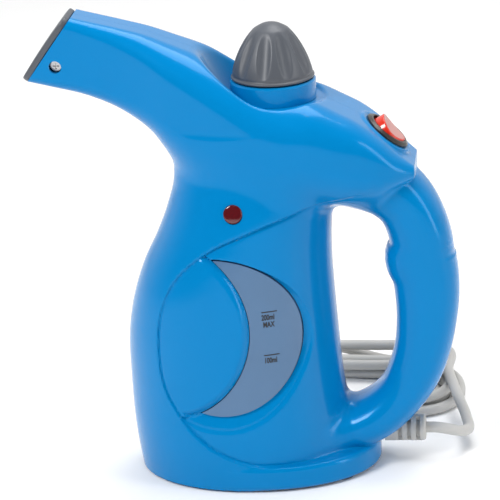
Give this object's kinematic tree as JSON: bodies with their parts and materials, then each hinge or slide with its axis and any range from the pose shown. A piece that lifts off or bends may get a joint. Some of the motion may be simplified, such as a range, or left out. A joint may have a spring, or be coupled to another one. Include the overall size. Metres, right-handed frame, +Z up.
{
  "type": "handheld garment steamer",
  "caption": "Handheld garment steamer with a water tank seen through a side window, screw filler cap, angled steam nozzle, loop handle, rocker switch and mains lead.",
  "frame": {"origin": "on the table under the centre of the oval base, at the underside of the middle foot", "axes": "+Z up, +X from nozzle to handle, -Y is the side with the marked water window and signal lens"},
  "size_m": [0.2157, 0.1978, 0.2366],
  "materials": {
    "blue_plastic": "glossy moulded",
    "grey_plastic": "satin moulded",
    "black_plastic": "glossy moulded",
    "red_plastic": "glossy moulded",
    "red_lens": "clear moulded",
    "clear_plastic": "clear moulded",
    "silicone": "matte",
    "rubber": "matte",
    "steel": "plated",
    "sheath_steel": "heat-dulled",
    "cast_aluminium": "as cast",
    "brass": "plain",
    "brass_pin": "nickel plated",
    "cord_grey": "matte",
    "wire_brown": "satin",
    "wire_black": "satin",
    "wire_blue": "satin"
  },
  "bodies": {
    "housing": {"housing_left": "blue_plastic", "housing_right": "blue_plastic", "filler_collar": "blue_plastic", "housing_screws": "steel", "nozzle_screw": "steel", "base_screws": "steel", "base_cover": "grey_plastic", "clamp_ring": "grey_plastic", "cord_clamp": "grey_plastic", "nozzle_duct": "grey_plastic", "nozzle_face": "grey_plastic", "boiling_cup": "grey_plastic", "steam_riser": "grey_plastic", "rubber_feet": "rubber", "tank": "clear_plastic", "tank_seal": "silicone", "nozzle_seal": "silicone", "steam_hose": "silicone", "heater_plate": "cast_aluminium", "heating_element": "sheath_steel", "element_pins": "steel", "thermostat": "black_plastic", "thermal_fuse": "steel", "switch_body": "black_plastic", "switch_terminals": "brass", "indicator_lens": "red_lens", "indicator_lamp": "red_lens", "strain_relief": "cord_grey", "power_cord": "cord_grey", "cord_lead": "cord_grey", "plug_body": "cord_grey", "plug_pins": "brass_pin", "wire_live": "wire_brown", "wire_switched": "wire_black", "wire_neutral": "wire_blue"},
    "cap_carrier": {"cap_gasket": "silicone"},
    "cap": {"cap_knob": "grey_plastic", "cap_plug": "grey_plastic", "relief_spring": "steel"},
    "relief": {"relief_poppet": "brass"},
    "rocker": {"switch_rocker": "red_plastic"},
    "contact": {"switch_contact": "brass"}
  },
  "joints": [
    {"name": "cap_lift", "type": "slide", "parent": "housing", "child": "cap_carrier", "axis": [0, 0, 1], "range_m": [0, 0.006]},
    {"name": "cap_turn", "type": "hinge", "parent": "cap_carrier", "child": "cap", "pos_m": [0.014, 0, 0.2], "axis": [0, 0, 1], "range_deg": [0, 720]},
    {"name": "relief_lift", "type": "slide", "parent": "cap", "child": "relief", "axis": [0, 0, 1], "range_m": [0, 0.0015], "stiffness_N_per_m": 400, "springref_m": -0.004, "deforming": ["relief_spring"]},
    {"name": "rocker_tilt", "type": "hinge", "parent": "housing", "child": "rocker", "pos_m": [0.06732, 0, 0.17186], "axis": [0, -1, 0], "range_deg": [0, 24]},
    {"name": "contact_tilt", "type": "hinge", "parent": "housing", "child": "contact", "pos_m": [0.06029, 0, 0.16328], "axis": [0, -1, 0], "range_deg": [-10.02, 0]}
  ],
  "couplings": [
    {"joint": "cap_lift", "follows": "cap_turn", "m_per_rad": 0.00047746},
    {"joint": "contact_tilt", "follows": "rocker_tilt", "ratio": -0.41667}
  ]
}
